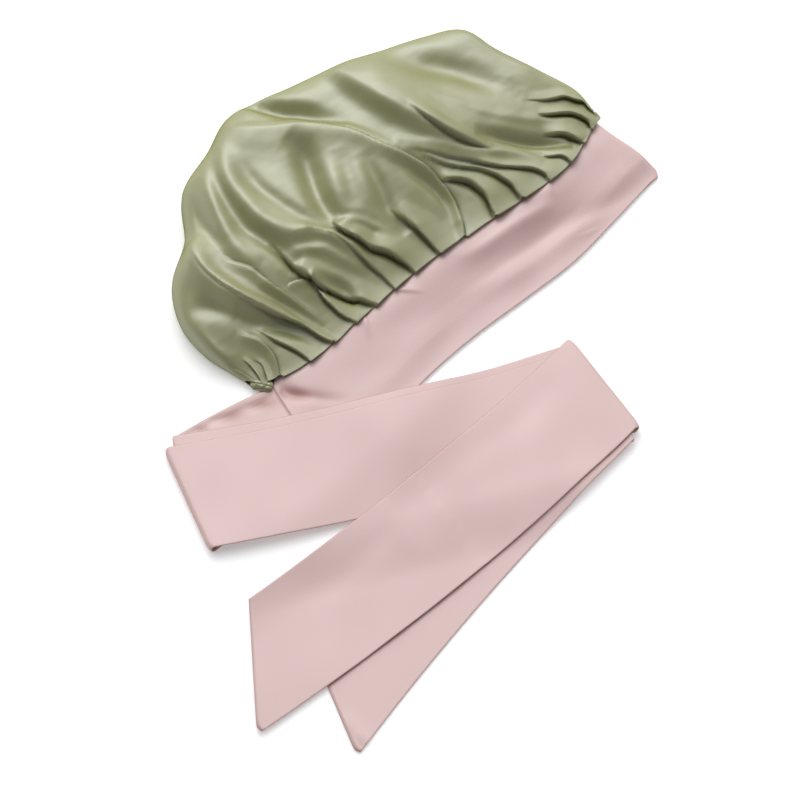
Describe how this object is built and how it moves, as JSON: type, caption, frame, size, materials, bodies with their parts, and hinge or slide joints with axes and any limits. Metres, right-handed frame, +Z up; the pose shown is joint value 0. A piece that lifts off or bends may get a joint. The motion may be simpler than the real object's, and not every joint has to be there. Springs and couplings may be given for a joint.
{
  "type": "satin sleep bonnet",
  "caption": "Satin sleep bonnet lying on its side: pleated sage crown, wide blush band and two long ties folded back and forth beside it.",
  "frame": {"origin": "on the table, under the middle of the bounding box of bonnet and ties as they lie", "axes": "+X along the crown's hem from nape to forehead, +Y from the open mouth towards the top of the crown, +Z up from the table"},
  "size_m": [0.4677, 0.3893, 0.0494],
  "materials": {
    "sage_satin": "satin",
    "blush_satin": "satin"
  },
  "bodies": {
    "root": {"crown": "sage_satin", "band": "blush_satin", "nape_casing": "sage_satin", "upper_tie": "blush_satin", "lower_tie": "blush_satin"}
  },
  "joints": []
}
